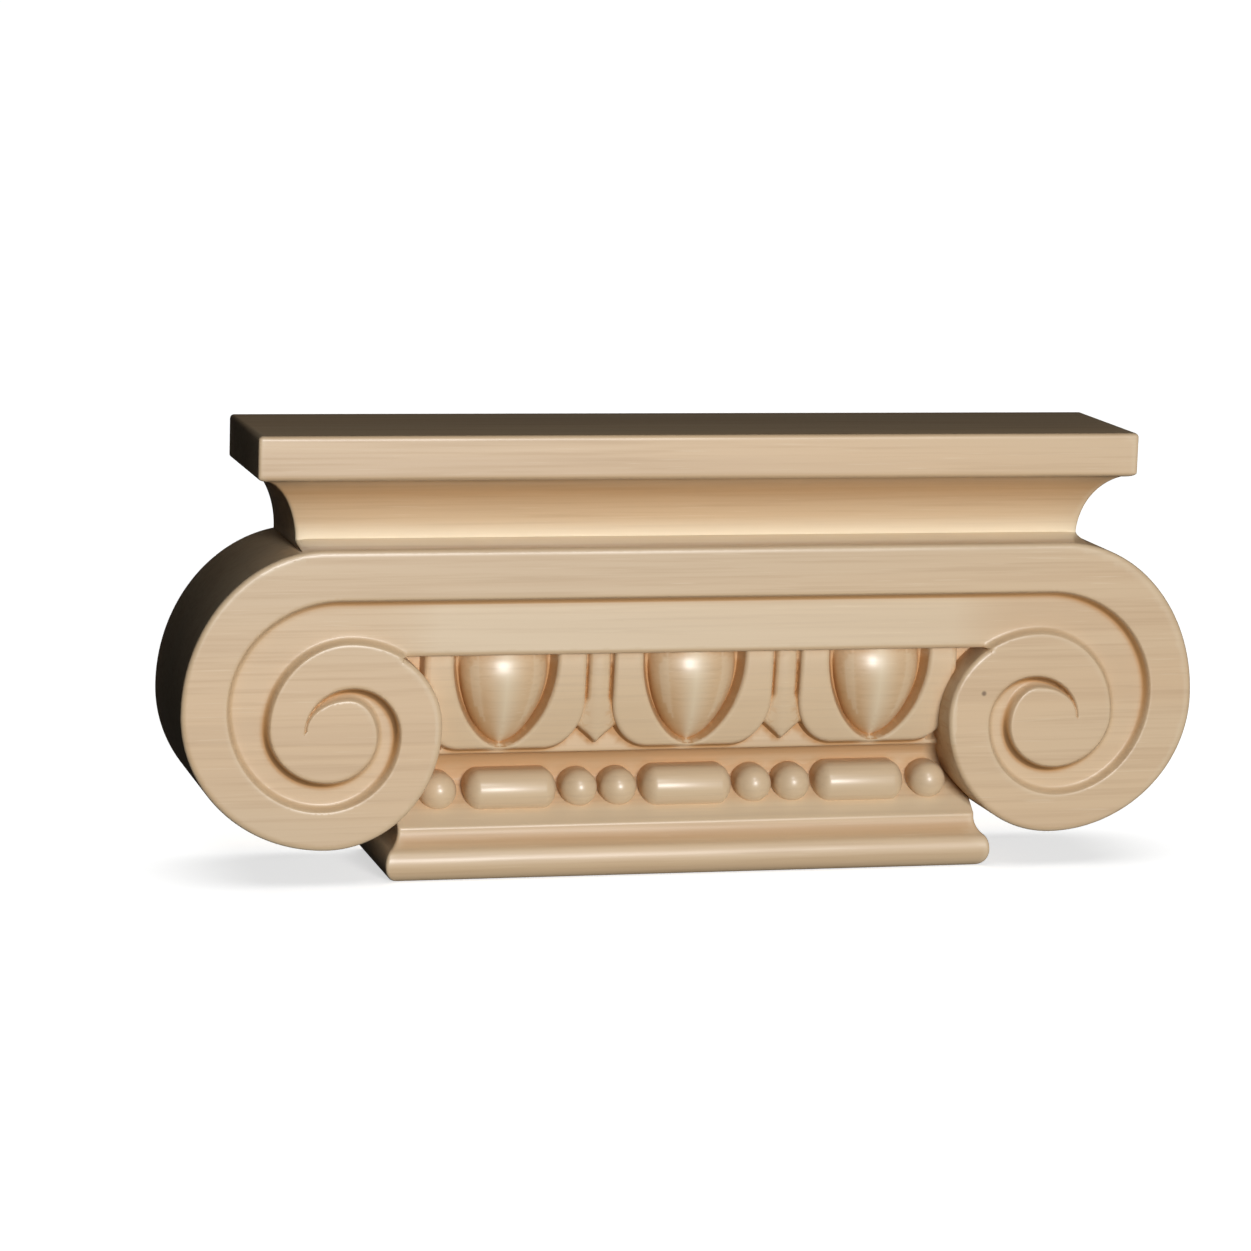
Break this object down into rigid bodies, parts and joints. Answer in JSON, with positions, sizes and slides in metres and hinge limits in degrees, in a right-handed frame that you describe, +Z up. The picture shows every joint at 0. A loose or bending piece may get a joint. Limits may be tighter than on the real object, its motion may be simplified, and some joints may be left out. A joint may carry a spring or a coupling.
{
  "type": "ionic pilaster capital",
  "caption": "Flat-backed carved maple ionic capital with two scroll volutes, egg-and-dart and bead-and-reel bands, a hollowed slab top and a small moulded base.",
  "frame": {"origin": "centre of the underside, half way between the flat back and the foremost faces", "axes": "+X along the width, -Y out of the carved front, +Y out of the flat back, +Z up"},
  "size_m": [0.1778, 0.0286, 0.0762],
  "materials": {
    "maple": "pale maple, sanded smooth, clear satin finish with a warm tone in the carved recesses"
  },
  "bodies": {
    "root": {"capital": "maple"}
  },
  "joints": []
}
